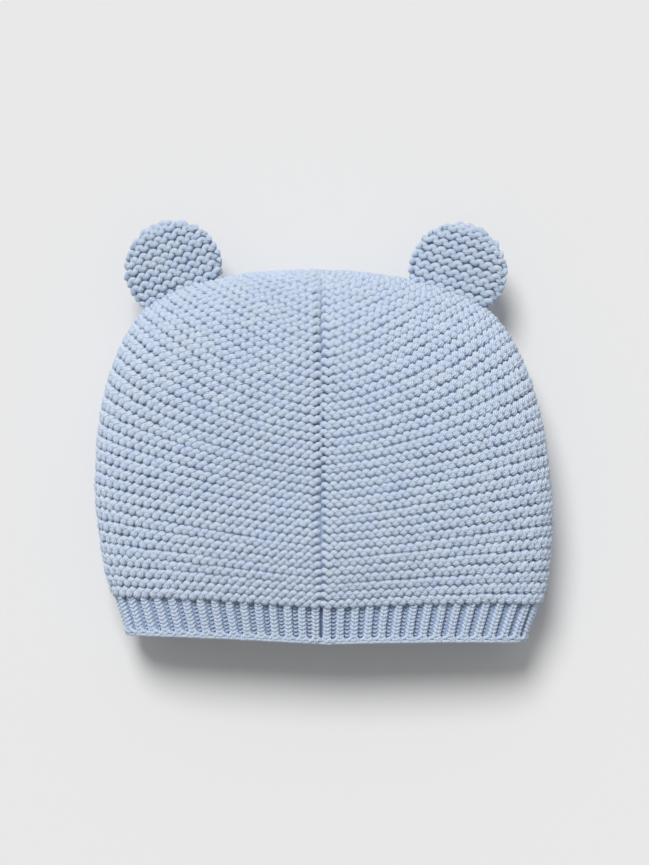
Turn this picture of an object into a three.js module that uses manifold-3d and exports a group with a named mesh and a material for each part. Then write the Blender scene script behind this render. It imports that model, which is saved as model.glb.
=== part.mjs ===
// A baby's knitted hat with two round ears. It lies on its front, as a flat hat does, so the seam
// at its back faces up. Lengths are millimetres: X runs across the hat, Y from the hem to the top of
// the crown, and Z up from the surface that it lies on.
//
// crown      the main sack in garter stitch, hollow, open at the rib and closed at its top fold
// rib_band   the ribbed band round the opening, knitted on below the crown
// ear_left   two layers of garter stitch sewn into one round pad, set on the crown's corner
// ear_right  the same on the other corner
import * as THREE from "three";
import Module from "manifold-3d";
import { mergeVertices } from "three/addons/utils/BufferGeometryUtils.js";

// Sizes of the whole hat.
const hatWidth = 190; // across the widest part of the crown
const hatLength = 155.4; // from the hem to the top fold
const crownThick = 50; // from the surface to the highest part of the crown
const hemThick = 33; // the same at the hem
const topRound = 50; // the length over which the crown thins out to its top fold
const undersidePress = 4; // how far the underside would sag if nothing pressed it flat

// The knitted wall of the crown, and the dip along the seam.
const crownWall = 3.4;
const seamDepth = 1.3;
const seamReach = 2.6; // from the seam's middle to where its dip is nearly gone
const seamSide = -1.2; // where the seam runs, from the hat's middle

// The ribbed band.
const ribHeight = 15.4;
const ribPitch = 5.6;
const ribDepth = 1.1;
const ribWall = 2.2;
const ribInset = 0.4; // how far the ribs stand back from the crown's outside

// The hem and the line where the ribs start both wave a little, and the whole hat lies a little
// askew, so that its right side is lower than its left.
const hemWave = 1.9;
const ribLineWave = 3.2;
const waveReach = 90; // the length of crown over which the wave fades out
const askew = 1.7; // how much lower each side is than the middle, or higher

// The ears. An ear is sewn to the crown's outline at seat times half the hatWidth from the middle,
// and tilts outwards by so many degrees.
const earWidth = 41.4;
const earRise = 29.4; // from the crown's outline to the ear's tip
const earTuck = 11.4; // the rest of the round, sewn in behind the outline
const earThick = 10;
const ears = [
  { name: "ear_left", side: -1, seat: 0.6, tilt: 24 },
  { name: "ear_right", side: 1, seat: 0.58, tilt: 18 },
];

const joinGap = 0.3; // between two pieces that are sewn or knitted together

// The level of the widest line round the sides, as a share of the thickness.
const sideShare = 0.44;
// The exponent of the underside's rounded corners: 2 is an ellipse, and more is boxier.
const undersideSquare = 3;

// The hat's sections, from the hem to the top fold. up is a share of hatLength, half and lean are
// shares of half the hatWidth, and fill runs from hemThick at 0 to crownThick at 1. square is the
// exponent of the rounded upper corners.
const sections = [
  { up: 0.0, half: 0.888, lean: 0.009, fill: 0.0, square: 4.2 },
  { up: 0.0375, half: 0.906, lean: 0.011, fill: 0.08, square: 4.1 },
  { up: 0.099, half: 0.943, lean: 0.015, fill: 0.24, square: 3.7 },
  { up: 0.161, half: 0.969, lean: 0.011, fill: 0.42, square: 3.2 },
  { up: 0.247, half: 0.987, lean: 0.007, fill: 0.64, square: 2.8 },
  { up: 0.367, half: 1.0, lean: 0.0, fill: 0.86, square: 2.55 },
  { up: 0.461, half: 0.993, lean: -0.007, fill: 0.96, square: 2.5 },
  { up: 0.568, half: 0.976, lean: -0.011, fill: 1.0, square: 2.5 },
  { up: 0.676, half: 0.938, lean: -0.015, fill: 1.0, square: 2.5 },
  { up: 0.756, half: 0.894, lean: -0.018, fill: 1.0, square: 2.45 },
  { up: 0.836, half: 0.828, lean: -0.02, fill: 1.0, square: 2.4 },
  { up: 0.885, half: 0.765, lean: -0.021, fill: 1.0, square: 2.3 },
  { up: 0.918, half: 0.69, lean: -0.022, fill: 1.0, square: 2.25 },
  { up: 0.945, half: 0.6, lean: -0.022, fill: 1.0, square: 2.2 },
  { up: 0.965, half: 0.49, lean: -0.022, fill: 1.0, square: 2.2 },
  { up: 0.982, half: 0.36, lean: -0.022, fill: 1.0, square: 2.2 },
  { up: 0.995, half: 0.2, lean: -0.022, fill: 1.0, square: 2.2 },
  { up: 1.0, half: 0.0, lean: -0.022, fill: 1.0, square: 2.2 },
];

// Shallow dents in the layer that faces up. across and acrossReach are shares of half the
// hatWidth, up and upReach of hatLength, and deep is a share of the thickness at the crown.
const dents = [
  { across: -0.23, acrossReach: 0.3, up: 0.41, upReach: 0.11, deep: 0.036 },
  { across: -0.74, acrossReach: 0.16, up: 0.47, upReach: 0.2, deep: 0.024 },
  { across: 0.3, acrossReach: 0.26, up: 0.12, upReach: 0.07, deep: 0.02 },
];

// How finely the solids are faceted.
const crownSides = 68;
const crownSteps = 22;
const ribSteps = 3;
const earSides = 30;
const earSteps = 5;
const outlineSamples = 240;

const halfWidth = hatWidth / 2;
const outline = new THREE.CatmullRomCurve3(
  sections.map((s) => new THREE.Vector3(s.half * halfWidth, s.up * hatLength, 0)),
  false,
  "catmullrom",
);
const form = new THREE.CatmullRomCurve3(
  sections.map((s) => new THREE.Vector3(s.fill, s.square, s.lean * halfWidth)),
  false,
  "catmullrom",
);

// The place along the outline, from 0 at the hem to 1 at the top fold, that lies at a length up.
function placeAt(up) {
  let low = 0;
  let high = 1;
  for (let i = 0; i < 40; i++) {
    const middle = (low + high) / 2;
    if (outline.getPoint(middle).y < up) low = middle;
    else high = middle;
  }
  return (low + high) / 2;
}

// The point of the outline at a place, moved inwards by inset along the outline's own normal.
function outlinePoint(place, inset) {
  const at = outline.getPoint(place);
  const along = outline.getTangent(place);
  return { half: Math.max(at.x - inset * along.y, 0), up: at.y + inset * along.x };
}

// How far the knitting at a place is moved along the hat by its waves and by lying askew.
function shiftAt(across, up) {
  const rise = THREE.MathUtils.lerp(hemWave, ribLineWave, Math.min(up / ribHeight, 1));
  const fade = THREE.MathUtils.smoothstep(waveReach - up, 0, waveReach - ribHeight);
  const wave = fade * rise * Math.sin((Math.PI * Math.abs(across)) / (1.5 * halfWidth));
  return wave - (askew * across) / halfWidth;
}

function dentAt(across, up) {
  const seam = seamDepth * Math.exp(-(((across - seamSide) / (seamReach / 2)) ** 2));
  const hollows = dents.map((d) => {
    const x = (across / halfWidth - d.across) / d.acrossReach;
    const y = (up / hatLength - d.up) / d.upReach;
    return d.deep * crownThick * Math.exp(-x * x - y * y);
  });
  return hollows.reduce((sum, hollow) => sum + hollow, seam);
}

// One closed section at a place, as count points at equal distances round it, starting on the seam
// and going to the right. inset moves it inwards, and ground is the level of its flattened underside.
function ring(place, inset, ground, count) {
  const { half, up } = outlinePoint(place, inset);
  const { x: fill, y: square, z: lean } = form.getPoint(place);
  const thick = THREE.MathUtils.lerp(hemThick, crownThick, fill);
  const level = thick * sideShare;
  const nearTop = THREE.MathUtils.clamp((hatLength - inset - up) / (topRound - inset), 0, 1);
  const round = Math.sqrt(Math.max(1 - (1 - nearTop) ** 2, 0));
  const above = (thick - level - inset) * round;
  const below = (level - inset + undersidePress) * round;
  const points = [];
  for (let i = 0; i < outlineSamples; i++) {
    const angle = Math.PI / 2 - (2 * Math.PI * i) / outlineSamples;
    const c = Math.cos(angle);
    const s = Math.sin(angle);
    const corner = s >= 0 ? square : undersideSquare;
    const x = lean + half * Math.sign(c) * Math.abs(c) ** (2 / corner);
    const swell = Math.abs(s) ** (2 / corner);
    const z =
      s >= 0
        ? level + (above - dentAt(x, up) * round) * swell
        : Math.max(ground, level - below * swell);
    points.push(new THREE.Vector3(x, up + shiftAt(x, up), z));
  }
  return spacedFromSeam(points, count);
}

// Points at equal distances round a closed line, starting where its upper side crosses the seam.
function spacedFromSeam(points, count) {
  const size = points.length;
  const reach = Math.max(...points.map((p) => p.x)) - Math.min(...points.map((p) => p.x));
  const seam = THREE.MathUtils.clamp(seamSide, points[0].x - reach / 4, points[0].x + reach / 4);
  const lengths = [0];
  for (let i = 0; i < size; i++) {
    lengths.push(lengths[i] + points[i].distanceTo(points[(i + 1) % size]));
  }
  const total = lengths[size];
  const at = (distance) => {
    const wrapped = ((distance % total) + total) % total;
    let i = lengths.findIndex((length) => length > wrapped) - 1;
    if (i < 0) i = size - 1;
    const share = (wrapped - lengths[i]) / Math.max(lengths[i + 1] - lengths[i], 1e-9);
    return points[i].clone().lerp(points[(i + 1) % size], share);
  };
  const start = total > 0 ? seam - points[0].x : 0;
  return Array.from({ length: count }, (_, i) => at(start + (total * i) / count));
}

// Adds the two triangles of each face between two rings that go round the same way.
function join(faces, first, second, count, flip) {
  for (let i = 0; i < count; i++) {
    const next = (i + 1) % count;
    const quad = [first + i, first + next, second + next, second + i];
    const [a, b, c, d] = flip ? [...quad].reverse() : quad;
    faces.push(a, b, c, a, c, d);
  }
}

function geometryOf(points, faces) {
  const geometry = new THREE.BufferGeometry().setFromPoints(points);
  geometry.setIndex(faces);
  geometry.computeVertexNormals();
  return geometry;
}

// A sack with an open mouth, or a sleeve open at both ends, from its outer and inner rings. A ring's
// points go round clockwise seen from the hem.
function shell(outer, inner, closed) {
  const count = outer[0].length;
  const points = [...outer.flat(), ...inner.flat()];
  const innerStart = outer.length * count;
  const faces = [];
  for (let i = 0; i + 1 < outer.length; i++) {
    join(faces, i * count, (i + 1) * count, count, false);
  }
  for (let i = 0; i + 1 < inner.length; i++) {
    join(faces, innerStart + i * count, innerStart + (i + 1) * count, count, true);
  }
  join(faces, innerStart, 0, count, false);
  const outerEnd = (outer.length - 1) * count;
  const innerEnd = innerStart + (inner.length - 1) * count;
  if (closed) {
    closeEnd(points, faces, outerEnd, count, false);
    closeEnd(points, faces, innerEnd, count, true);
  } else {
    join(faces, outerEnd, innerEnd, count, false);
  }
  return geometryOf(points, faces);
}

// Closes a ring with a fan of faces round its middle.
function closeEnd(points, faces, start, count, flip) {
  const middle = new THREE.Vector3();
  for (let i = 0; i < count; i++) middle.addScaledVector(points[start + i], 1 / count);
  points.push(middle);
  for (let i = 0; i < count; i++) {
    const edge = [start + i, start + ((i + 1) % count)];
    faces.push(...(flip ? edge.reverse() : edge), points.length - 1);
  }
}

// Places from one length up to the last section before the fold, closer together near the fold.
function places(from, to, steps) {
  return Array.from({ length: steps + 1 }, (_, i) => from + ((to - from) * i) / steps);
}

const lastPlace = 1 - 0.25 / (sections.length - 1);

function crownGeometry(inset) {
  const stops = places(placeAt(ribHeight + joinGap / 2), lastPlace, crownSteps);
  const rings = (depth) => stops.map((stop) => ring(stop, depth, Math.max(depth, 0), crownSides));
  return shell(rings(inset), rings(crownWall), true);
}

// The crown with no hollow, grown by a little, for cutting what sits on it.
function crownBlock(grow) {
  const rings = places(0, lastPlace, crownSteps).map((stop) => ring(stop, -grow, -grow, crownSides));
  const points = rings.flat();
  const faces = [];
  for (let i = 0; i + 1 < rings.length; i++) {
    join(faces, i * crownSides, (i + 1) * crownSides, crownSides, false);
  }
  closeEnd(points, faces, 0, crownSides, true);
  closeEnd(points, faces, (rings.length - 1) * crownSides, crownSides, false);
  return geometryOf(points, faces);
}

// Each rib has two points on its ridge and two in the valley beside it, outside and inside alike.
function ribBandGeometry() {
  const stops = places(0, placeAt(ribHeight - joinGap / 2), ribSteps);
  const around = ring(stops[0], ribInset, 0, outlineSamples);
  const length = around.reduce((sum, p, i) => sum + p.distanceTo(around[(i + 1) % outlineSamples]), 0);
  const count = 4 * Math.round(length / ribPitch);
  const ribbed = (stop, depth) => {
    const ridges = ring(stop, ribInset + depth, depth, count);
    const valleys = ring(stop, ribInset + depth + ribDepth, depth + ribDepth, count);
    return ridges.map((point, i) => (i % 4 === 1 || i % 4 === 2 ? point : valleys[i]));
  };
  const outer = stops.map((stop) => ribbed(stop, 0));
  const inner = stops.map((stop) => ribbed(stop, ribWall));
  return shell(outer, inner, false);
}

// A round pad with a full rim, lying flat, its middle at the origin and its tip towards +Y.
function earPad() {
  const profile = [];
  for (let i = 0; i <= 2 * earSteps; i++) {
    const angle = (Math.PI / 2) * (i / earSteps - 1);
    const radius = i % (2 * earSteps) === 0 ? 0 : Math.cos(angle) ** 0.75;
    profile.push(new THREE.Vector2(radius, Math.sign(angle) * Math.abs(Math.sin(angle)) ** 0.85));
  }
  const pad = new THREE.LatheGeometry(profile, earSides);
  pad.rotateX(Math.PI / 2);
  pad.scale(earWidth / 2, (earRise + earTuck) / 2, earThick / 2);
  return pad;
}

// The place near the top fold where the outline has come in to a distance from the hat's middle.
function seatPlace(half) {
  let low = placeAt(hatLength / 2);
  let high = 1;
  for (let i = 0; i < 40; i++) {
    const middle = (low + high) / 2;
    if (outline.getPoint(middle).x > half) low = middle;
    else high = middle;
  }
  return (low + high) / 2;
}

const wasm = await Module();
wasm.setup();

function solidOf(geometry) {
  const bare = geometry.clone();
  bare.deleteAttribute("normal");
  bare.deleteAttribute("uv");
  const merged = mergeVertices(bare, 1e-4);
  const vertProperties = merged.attributes.position.array;
  const triVerts = new Uint32Array(merged.index.array);
  return new wasm.Manifold(new wasm.Mesh({ numProp: 3, vertProperties, triVerts }));
}

function geometryOfSolid(solid) {
  const mesh = solid.getMesh();
  const geometry = new THREE.BufferGeometry();
  geometry.setAttribute("position", new THREE.BufferAttribute(mesh.vertProperties, 3));
  geometry.setIndex(new THREE.BufferAttribute(mesh.triVerts, 1));
  geometry.computeVertexNormals();
  return geometry;
}

// An ear in place, cut back so that its base follows the crown a seam's gap away.
function earGeometry({ side, seat, tilt }, block) {
  const place = seatPlace(seat * halfWidth);
  const at = outline.getPoint(place);
  const across = form.getPoint(place).z + side * at.x;
  const pad = earPad();
  pad.translate(0, (earRise - earTuck) / 2, 0);
  pad.rotateZ(-side * THREE.MathUtils.degToRad(tilt));
  pad.translate(across, at.y + shiftAt(across, at.y), crownThick * sideShare);
  return geometryOfSolid(solidOf(pad).subtract(block));
}

const yarn = (color) => new THREE.MeshStandardMaterial({ color, roughness: 0.95, metalness: 0 });

const hat = new THREE.Group();
function add(name, geometry, color) {
  const mesh = new THREE.Mesh(geometry, yarn(color));
  mesh.name = name;
  hat.add(mesh);
}

add("crown", crownGeometry(0), 0xbccce2);
add("rib_band", ribBandGeometry(), 0xb4c4dc);
const block = solidOf(crownBlock(joinGap));
for (const ear of ears) add(ear.name, earGeometry(ear, block), 0xb6c7df);

// The origin is on the surface, below the middle of the whole hat.
const box = new THREE.Box3().setFromObject(hat);
const middle = box.getCenter(new THREE.Vector3());
hat.position.set(-middle.x, -middle.y, 0);

export default hat;
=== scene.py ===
"""A baby's knitted hat with two round ears, lying on its front with the seam of its back up.

The cloth is made as it is knitted: rows of yarn loops follow the crown, the ribbed band and the
ears, over a thin backing of the same yarn. Lengths in the tables and named values are millimetres.
"""

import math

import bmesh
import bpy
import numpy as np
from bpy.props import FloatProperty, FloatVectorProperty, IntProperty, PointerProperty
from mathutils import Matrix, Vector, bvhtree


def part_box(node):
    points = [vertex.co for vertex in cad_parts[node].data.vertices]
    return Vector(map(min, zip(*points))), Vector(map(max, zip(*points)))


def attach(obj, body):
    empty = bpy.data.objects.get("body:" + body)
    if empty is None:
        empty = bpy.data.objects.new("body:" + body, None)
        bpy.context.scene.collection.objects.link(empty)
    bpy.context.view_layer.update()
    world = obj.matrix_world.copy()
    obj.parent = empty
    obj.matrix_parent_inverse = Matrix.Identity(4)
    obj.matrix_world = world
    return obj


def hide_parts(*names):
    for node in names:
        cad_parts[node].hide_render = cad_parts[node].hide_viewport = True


bl_info = {
    "name": "Knitted Baby Hat",
    "version": (1, 0, 0),
    "blender": (4, 5, 0),
    "location": "View3D > Sidebar > Knitted Hat",
    "description": "Knits a baby hat with ears, stitch by stitch, on its packed model",
    "category": "Add Mesh",
}

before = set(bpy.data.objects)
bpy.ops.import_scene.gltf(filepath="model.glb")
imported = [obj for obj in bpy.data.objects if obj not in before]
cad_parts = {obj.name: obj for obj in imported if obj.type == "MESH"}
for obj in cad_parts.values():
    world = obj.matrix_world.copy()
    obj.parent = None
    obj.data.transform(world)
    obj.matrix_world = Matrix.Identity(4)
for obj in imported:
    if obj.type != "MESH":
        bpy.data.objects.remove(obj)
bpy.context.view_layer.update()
MM = 0.001
TAU = 2 * math.pi

# Sizes of the hat, as in its model. Each ear has its solid, its side, its seat as a share of the half
# width, and its tilt in degrees.
HAT_WIDTH = 190.0
HAT_LENGTH = 155.4
CROWN_THICK = 50.0
HEM_THICK = 33.0
TOP_ROUND = 50.0
UNDERSIDE_PRESS = 4.0
CROWN_WALL = 3.4
SEAM_DEPTH = 1.3
SEAM_REACH = 2.6
SEAM_SIDE = -1.2
RIB_HEIGHT = 15.4
RIB_PITCH = 5.6
RIB_INSET = 0.4
HEM_WAVE = 1.9
RIB_LINE_WAVE = 3.2
WAVE_REACH = 90.0
WAVE_SPAN = 1.5  # the length of half a wave, as a share of half the hat's width
ASKEW = 1.7
EAR_WIDTH = 41.4
EAR_RISE = 29.4
EAR_TUCK = 11.4
EAR_THICK = 10.0
EARS = (("ear_left", -1, 0.6, 24.0), ("ear_right", 1, 0.58, 18.0))
SIDE_SHARE = 0.44
UNDERSIDE_SQUARE = 3.0
UNDERSIDE_SOFTNESS = 1.0  # the pressed underside rounds into the sides over this length
HALF_WIDTH = HAT_WIDTH / 2
SIDE_LEVEL = CROWN_THICK * SIDE_SHARE
EAR_HALF_WIDTH = EAR_WIDTH / 2
EAR_HALF_RISE = (EAR_RISE + EAR_TUCK) / 2

# Sections from the hem to the top fold: share of the length, share of the half width, lean to the
# side, fill from the hem's thickness to the crown's, and the exponent of the upper corners.
SECTIONS = np.array([
    (0.0, 0.888, 0.009, 0.0, 4.2),
    (0.0375, 0.906, 0.011, 0.08, 4.1),
    (0.099, 0.943, 0.015, 0.24, 3.7),
    (0.161, 0.969, 0.011, 0.42, 3.2),
    (0.247, 0.987, 0.007, 0.64, 2.8),
    (0.367, 1.0, 0.0, 0.86, 2.55),
    (0.461, 0.993, -0.007, 0.96, 2.5),
    (0.568, 0.976, -0.011, 1.0, 2.5),
    (0.676, 0.938, -0.015, 1.0, 2.5),
    (0.756, 0.894, -0.018, 1.0, 2.45),
    (0.836, 0.828, -0.02, 1.0, 2.4),
    (0.885, 0.765, -0.021, 1.0, 2.3),
    (0.918, 0.69, -0.022, 1.0, 2.25),
    (0.945, 0.6, -0.022, 1.0, 2.2),
    (0.965, 0.49, -0.022, 1.0, 2.2),
    (0.982, 0.36, -0.022, 1.0, 2.2),
    (0.995, 0.2, -0.022, 1.0, 2.2),
    (1.0, 0.0, -0.022, 1.0, 2.2),
])

# Dents in the layer that faces up: place and reach across, place and reach up, and depth, as shares.
DENTS = (
    (-0.23, 0.3, 0.41, 0.11, 0.036),
    (-0.74, 0.16, 0.47, 0.2, 0.024),
    (0.3, 0.26, 0.12, 0.07, 0.02),
)

# The garter ridges. They start at this pitch above the ribs, and each millimetre up or away from the
# seam takes this many ridges from a millimetre of height.
RIDGE_PITCH = 3.4
OPENING_UP = 0.00012
OPENING_AWAY = 0.00115
# The ridges bend in the middle, over this width above the ribs and this width near the fold.
LOW_BEND = 30.0
HIGH_BEND = 8.0
LOW_BEND_END = 60.0
HIGH_BEND_START = 120.0
FRONT_BEND = 14.0  # the front has no seam, so its bend is rounder
FRONT_BLEND = (-0.15, 0.7)  # it comes in between these shares of the way from a side to the front
LEFT_OFFSET = 0.5  # at the seam the ridges of the left half lie between those of the right half
OFFSET_RISE = 26.0  # but they start level above the ribs, and drift apart over this height
RISE_RANGE = (2.4, 5.4)  # no ridge is drawn narrower or wider than this

# How deep the yarn and what backs it lie under the outside of the knitting.
YARN_DEPTH = 1.05
BACKING_DEPTH = 0.65
BACKING_SINK = 1.15  # the backing lies deeper by this much at the sides, where the rows open
PAD_DEPTH = 2.2  # the pad of an ear, under the middle of its faces
RIM_DEPTH = 1.1  # the pad at its rim, where it comes nearer to its stitches
SEAT_SHARE = 4  # near the crown a pad is shrunk by at most this many times its distance from it
UNDERSIDE_SINK = 0.75  # stitches that face straight down are pressed in by this much more

# How many points a shape is measured at: along the outline, up the ridges, over the top fold, round
# a section, and on a net over the whole crown.
OUTLINE_PLACES = 2001
RIDGE_PLACES = 900
FOLD_PLACES = 400
RING_TURNS = 721
NET = (200, 361)


def smoothstep(low, high, value):
    t = np.clip((value - low) / (high - low), 0, 1)
    return t * t * (3 - 2 * t)


def sections_at(place):
    """The section's five values at places from 0 at the hem to 1 at the fold, and their slopes."""
    table = np.vstack([2 * SECTIONS[0] - SECTIONS[1], SECTIONS, 2 * SECTIONS[-1] - SECTIONS[-2]])
    at = np.clip(np.asarray(place, float), 0, 1) * (len(SECTIONS) - 1)
    i = np.minimum(at.astype(int), len(SECTIONS) - 2)
    w = (at - i)[..., None]
    before, first, second, after = (table[i + k] for k in range(4))
    rise, fall = (second - before) / 2, (after - first) / 2
    square = 3 * (second - first) - 2 * rise - fall
    cube = 2 * (first - second) + rise + fall
    value = first + w * (rise + w * (square + w * cube))
    slope = rise + w * (2 * square + w * 3 * cube)
    return np.moveaxis(value, -1, 0), np.moveaxis(slope, -1, 0)


def shift_at(across, up):
    """How far the knitting is moved along the hat by its waves and by lying askew."""
    rise = HEM_WAVE + (RIB_LINE_WAVE - HEM_WAVE) * np.minimum(up / RIB_HEIGHT, 1)
    fade = smoothstep(0, WAVE_REACH - RIB_HEIGHT, WAVE_REACH - up)
    wave = fade * rise * np.sin(math.pi * np.abs(across) / (WAVE_SPAN * HALF_WIDTH))
    return wave - ASKEW * across / HALF_WIDTH


def dent_at(across, up):
    depth = SEAM_DEPTH * np.exp(-(((across - SEAM_SIDE) / (SEAM_REACH / 2)) ** 2))
    for side, side_reach, height, height_reach, deep in DENTS:
        x = (across / HALF_WIDTH - side) / side_reach
        y = (up / HAT_LENGTH - height) / height_reach
        depth = depth + deep * CROWN_THICK * np.exp(-x * x - y * y)
    return depth


def rounding_at(up, inset=0.0):
    """How thick the hat is at a length up from the hem, as a share, as it rounds its top fold."""
    near_top = np.clip((HAT_LENGTH - inset - up) / (TOP_ROUND - inset), 0, 1)
    return np.sqrt(np.maximum(1 - (1 - near_top) ** 2, 0))


def hat_surface(place, turn, inset=0.0):
    """Points on the hat's outside, moved inwards by inset.

    turn goes round a section: 0 is the right side, a quarter turn the seam, and three quarters the
    middle of the front, which lies on the surface below.
    """
    (up, half, lean, fill, square), (up_slope, half_slope, _, _, _) = sections_at(place)
    up, up_slope = up * HAT_LENGTH, up_slope * HAT_LENGTH
    half, half_slope, lean = half * HALF_WIDTH, half_slope * HALF_WIDTH, lean * HALF_WIDTH
    norm = np.hypot(up_slope, half_slope)
    half = np.maximum(half - inset * up_slope / norm, 0)
    up = up + inset * half_slope / norm
    thick = HEM_THICK + (CROWN_THICK - HEM_THICK) * fill
    level = thick * SIDE_SHARE
    rounding = rounding_at(up, inset)
    above = (thick - level - inset) * rounding
    below = (level - inset + UNDERSIDE_PRESS) * rounding
    c, s = np.cos(turn), np.sin(turn)
    corner = np.where(s >= 0, square, UNDERSIDE_SQUARE)
    reach = (np.abs(c) ** corner + np.abs(s) ** corner) ** (-1 / corner)
    x = lean + half * c * reach
    swell = np.abs(s) * reach
    sunk = level - below * swell - inset
    lifted = (sunk + np.sqrt(sunk * sunk + UNDERSIDE_SOFTNESS**2)) / 2
    pressed = np.minimum(inset + lifted, level)
    z = np.where(s >= 0, level + (above - dent_at(x, up) * rounding) * swell, pressed)
    return np.stack([x, up + shift_at(x, up), z], -1), up


def ridge_at(place, turn, left=False):
    """Which garter ridge, counted from the ribs, lies at a point of the crown.

    left is for the left half of the back, whose ridges drift away from those of the right half.
    """
    points, up = hat_surface(place, turn)
    x = points[..., 0]
    height = np.maximum(points[..., 1] - RIB_HEIGHT - shift_at(x, RIB_HEIGHT), 0)
    front = smoothstep(*FRONT_BLEND, -np.sin(turn))
    bend = LOW_BEND + (HIGH_BEND - LOW_BEND) * smoothstep(LOW_BEND_END, HIGH_BEND_START, height)
    bend = bend + FRONT_BEND * front
    side = np.sqrt((x - SEAM_SIDE * (1 - front)) ** 2 + bend**2) - bend
    offset = 0.0
    if left:
        quarter = np.clip((np.asarray(turn) - TAU / 4) / (TAU / 4), 0, 1)
        offset = LEFT_OFFSET * np.minimum(height / OFFSET_RISE, 1) * (1 - quarter)
    run = height + fold_excess(up)
    return run * (1 / RIDGE_PITCH - OPENING_UP * run - OPENING_AWAY * side) + offset


FOLD_UPS = np.linspace(HAT_LENGTH - TOP_ROUND, HAT_LENGTH, FOLD_PLACES)
FOLD_HIGH = (1 - SIDE_SHARE) * CROWN_THICK * np.sqrt(
    np.maximum(1 - ((FOLD_UPS - FOLD_UPS[0]) / TOP_ROUND) ** 2, 0))
FOLD_STEPS = np.hypot(np.diff(FOLD_UPS), np.diff(FOLD_HIGH)) - np.diff(FOLD_UPS)
FOLD_SUM = np.concatenate([[0], np.cumsum(FOLD_STEPS)])


def fold_excess(up):
    """How much longer the knitting is than the hat up to here, as it rounds the top fold."""
    return np.interp(up, FOLD_UPS, FOLD_SUM)


STRAY = 0.45  # how far a stitch strays, as a share of its width for each unit of unevenness
WANDER = 0.045  # rows stray by about this share of a ridge
WANDER_WAVES = 4
WANDER_COUNTS = (8, 34)  # how often such a wave goes up and down round the hat
APEX_GAP = 0.42  # the last ridge stays this share of a pitch away from the top of the hat
APEX_ROWS = 6  # about so many ridges below the top are spaced out to end evenly there
BACKING_GAP = 0.02  # the backing comes this near to the top, in ridges


def place_at(up):
    """The place along the outline at a length up from the hem."""
    places = np.linspace(0, 1, OUTLINE_PLACES)
    return float(np.interp(up, sections_at(places)[0][0] * HAT_LENGTH, places))


def origin_shift():
    """From the hat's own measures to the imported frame, whose origin is below its middle."""
    low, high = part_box("crown")
    places = np.linspace(place_at(RIB_HEIGHT), 1, NET[0])[:, None]
    points = hat_surface(places, np.linspace(0, TAU, NET[1])[None, :])[0]
    middle = (points[..., :2].min((0, 1)) + points[..., :2].max((0, 1))) / 2
    return np.array([(low.x + high.x) / 2 / MM - middle[0], high.y / MM - points[..., 1].max(), 0])


SHIFT = origin_shift()
RIB_TOP = place_at(RIB_HEIGHT)


def unit(vectors):
    return vectors / np.maximum(np.linalg.norm(vectors, axis=-1, keepdims=True), 1e-9)


def ridge_map(turns, gap, left=False):
    """Places up the crown, each turn's ridges at them, and the last ridge, a gap below the top."""
    places = np.linspace(RIB_TOP, 1, RIDGE_PLACES)
    ridges = ridge_at(places[None, :], turns[:, None], left)
    return places, ridges, ridges[:, -1].min() - gap


def places_of(ridge, places, ridges):
    """The place of a ridge at each turn. The ridge is one number or one for each turn."""
    wanted = np.broadcast_to(ridge, len(ridges))
    return np.array([np.interp(one, row, places) for one, row in zip(wanted, ridges)])


def crown_lines(start, end, left, samples=64):
    """The middle lines of the ridges between two turns, each with its outward normals and pitch."""
    turns = np.linspace(start, end, samples)
    places, ridges, last = ridge_map(turns, APEX_GAP, left)
    lines = []
    spaced = math.floor(last - APEX_ROWS) + 0.5
    for ridge in [*np.arange(0.5, spaced), *np.linspace(spaced, last, round(last - spaced) + 1)]:
        wander = row_wander(ridge, turns) if ridge < last else 0 * turns
        lines.append(line_on(places_of(ridge + wander, places, ridges), turns))
    return lines


def row_wander(ridge, turns):
    """How far a row strays from its even course, in ridges, in a few waves of its own."""
    chance = np.random.default_rng(int(2 * ridge))
    counts = chance.uniform(*WANDER_COUNTS, WANDER_WAVES)
    phases = chance.uniform(0, TAU, WANDER_WAVES)
    return WANDER * np.sin(counts[:, None] * turns + phases[:, None]).mean(0)


def line_on(place, turn):
    """The line through these places and turns, with its outward normals and the ridges' pitch."""
    step = 1e-4
    here = hat_surface(place, turn)[0]
    along = (hat_surface(place + step, turn)[0] - hat_surface(place - step, turn)[0]) / (2 * step)
    around = (hat_surface(place, turn + step)[0] - hat_surface(place, turn - step)[0]) / (2 * step)
    normal = unit(np.cross(along, around))
    up_change = (ridge_at(place + step, turn) - ridge_at(place - step, turn)) / (2 * step)
    side_change = (ridge_at(place, turn + step) - ridge_at(place, turn - step)) / (2 * step)
    e, f, g = ((a * b).sum(-1) for a, b in ((along, along), (along, around), (around, around)))
    area = np.maximum(e * g - f * f, 1e-9)
    steep = (g * up_change**2 - 2 * f * up_change * side_change + e * side_change**2) / area
    pitch = 1 / np.sqrt(np.maximum(steep, 1e-6))
    return {"points": here, "out": normal, "rise": np.clip(pitch, *RISE_RANGE)}


def cut_at_seam(line, side, gap):
    """The part of a line that lies on one side of the seam, starting gap away from it."""
    x = line["points"][:, 0]
    edge = SEAM_SIDE + side * gap
    keep = side * (x - edge) > 0
    if keep.sum() < 3:
        return None
    first = int(np.argmax(keep))
    if first == 0:
        return line
    w = (edge - x[first - 1]) / (x[first] - x[first - 1])
    cut = {}
    for key, values in line.items():
        start = values[first - 1] + w * (values[first] - values[first - 1])
        cut[key] = np.concatenate([start[None], values[first:]])
    return cut


def line_length(line):
    return float(np.linalg.norm(np.diff(line["points"], axis=0), axis=1).sum())


def linked(name, data):
    """A new object of that mesh, light or camera in the scene."""
    obj = bpy.data.objects.new(name, data)
    bpy.context.scene.collection.objects.link(obj)
    return obj


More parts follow.
